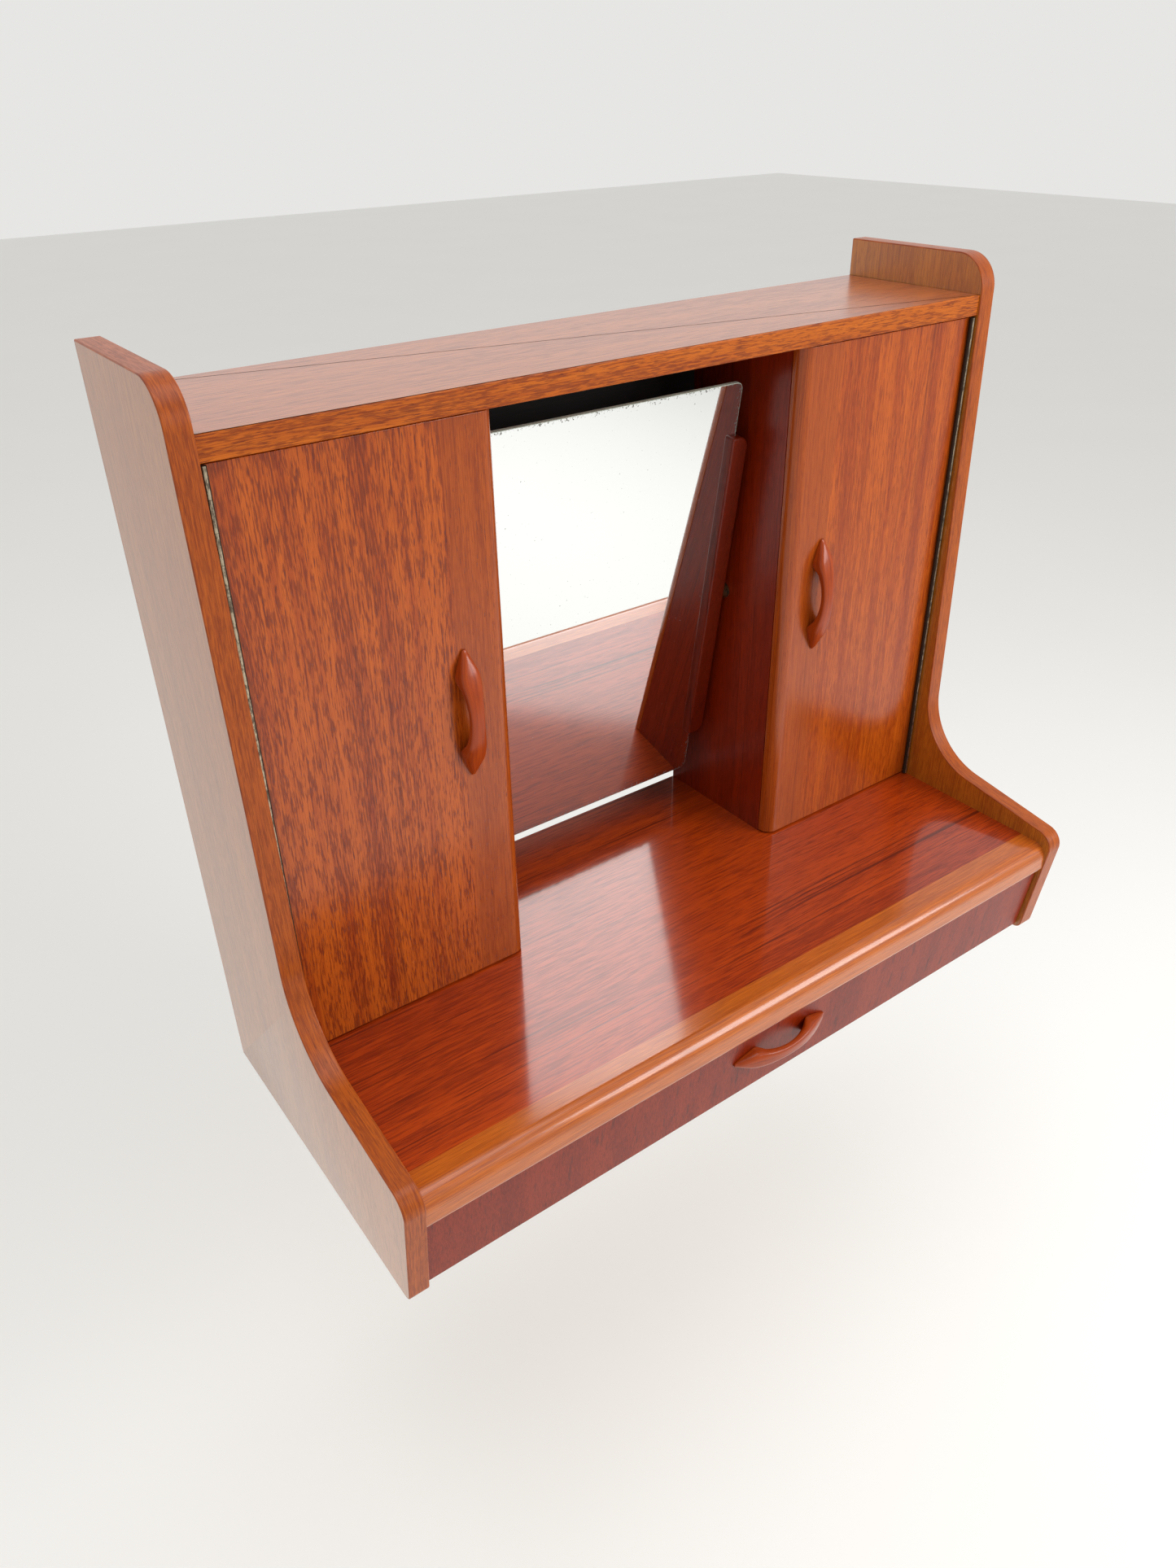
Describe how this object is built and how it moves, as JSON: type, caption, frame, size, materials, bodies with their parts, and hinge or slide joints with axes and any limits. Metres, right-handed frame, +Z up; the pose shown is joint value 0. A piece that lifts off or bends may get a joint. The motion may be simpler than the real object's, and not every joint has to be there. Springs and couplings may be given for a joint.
{
  "type": "vanity table with mirror",
  "caption": "Wall-hung vanity: shaped side panels, a top shelf, hinged cupboards beside a niche with a tilting mirror, a desk top with a rounded lipping and a wide drawer.",
  "frame": {"origin": "midway between the two wall screws, on the wall plane", "axes": "+X to the right as seen from the front, +Y back into the wall, +Z up"},
  "size_m": [0.9, 0.4135, 0.769],
  "materials": {
    "teak_panel": "oiled satin, upright grain",
    "teak_shelf": "oiled satin, grain along the width",
    "teak_desk": "polished satin, grain along the width",
    "teak_lipping": "solid, rounded and oiled",
    "teak_divider": "oiled satin",
    "teak_door": "satin lacquer, upright grain",
    "teak_handle": "solid, hand-rounded and oiled",
    "pale_wood": "plain, unvarnished",
    "stained_wood": "stained near black, matt",
    "nickel": "nickelled, lightly worn",
    "brass": "satin",
    "white_plastic": "plain moulded",
    "mirror_glass": "silvered plate glass with ground edges"
  },
  "bodies": {
    "carcass": {"left_side_panel": "teak_panel", "right_side_panel": "teak_panel", "top_shelf": "teak_shelf", "desk_top": "teak_desk", "desk_front_lipping": "teak_lipping", "left_divider": "teak_divider", "right_divider": "teak_divider", "left_cupboard_back": "pale_wood", "right_cupboard_back": "pale_wood", "left_hanging_rail": "pale_wood", "right_hanging_rail": "pale_wood", "centre_rail": "stained_wood", "lower_back_rail": "pale_wood", "left_loose_shelf": "pale_wood", "right_loose_shelf": "pale_wood", "left_shelf_pins": "brass", "right_shelf_pins": "brass", "left_drawer_runner": "pale_wood", "right_drawer_runner": "pale_wood", "runner_screws": "brass", "left_catch": "white_plastic", "right_catch": "white_plastic", "left_pivot_bush": "brass", "right_pivot_bush": "brass", "left_hinge_frame_leaf": "nickel", "right_hinge_frame_leaf": "nickel", "left_hinge_pin": "nickel", "right_hinge_pin": "nickel", "left_hinge_frame_screws": "nickel", "right_hinge_frame_screws": "nickel"},
    "left_door": {"left_door": "teak_door", "left_hinge_door_leaf": "nickel", "left_hinge_door_screws": "nickel", "left_door_handle": "teak_handle", "left_handle_screws": "brass", "left_strike_plate": "nickel"},
    "right_door": {"right_door": "teak_door", "right_hinge_door_leaf": "nickel", "right_hinge_door_screws": "nickel", "right_door_handle": "teak_handle", "right_handle_screws": "brass", "right_strike_plate": "nickel"},
    "drawer": {"drawer_front": "teak_door", "drawer_left_side": "pale_wood", "drawer_right_side": "pale_wood", "drawer_back": "pale_wood", "drawer_bottom": "pale_wood", "drawer_handle": "teak_handle", "drawer_handle_screws": "brass"},
    "mirror": {"mirror_glass": "mirror_glass", "mirror_backing": "stained_wood", "left_mirror_batten": "teak_divider", "right_mirror_batten": "teak_divider", "left_pivot_pin": "nickel", "right_pivot_pin": "nickel"}
  },
  "joints": [
    {"name": "left_door_hinge", "type": "hinge", "parent": "carcass", "child": "left_door", "pos_m": [-0.426, -0.18366, -0.255], "axis": [0, 0, -1], "range_deg": [0, 90]},
    {"name": "right_door_hinge", "type": "hinge", "parent": "carcass", "child": "right_door", "pos_m": [0.426, -0.18366, -0.255], "axis": [0, 0, 1], "range_deg": [0, 90]},
    {"name": "drawer_slide", "type": "slide", "parent": "carcass", "child": "drawer", "axis": [0, -1, 0], "range_m": [0, 0.25]},
    {"name": "mirror_tilt", "type": "hinge", "parent": "carcass", "child": "mirror", "pos_m": [0, -0.0817, -0.2486], "axis": [1, 0, 0], "range_deg": [-20, 6.5]}
  ]
}
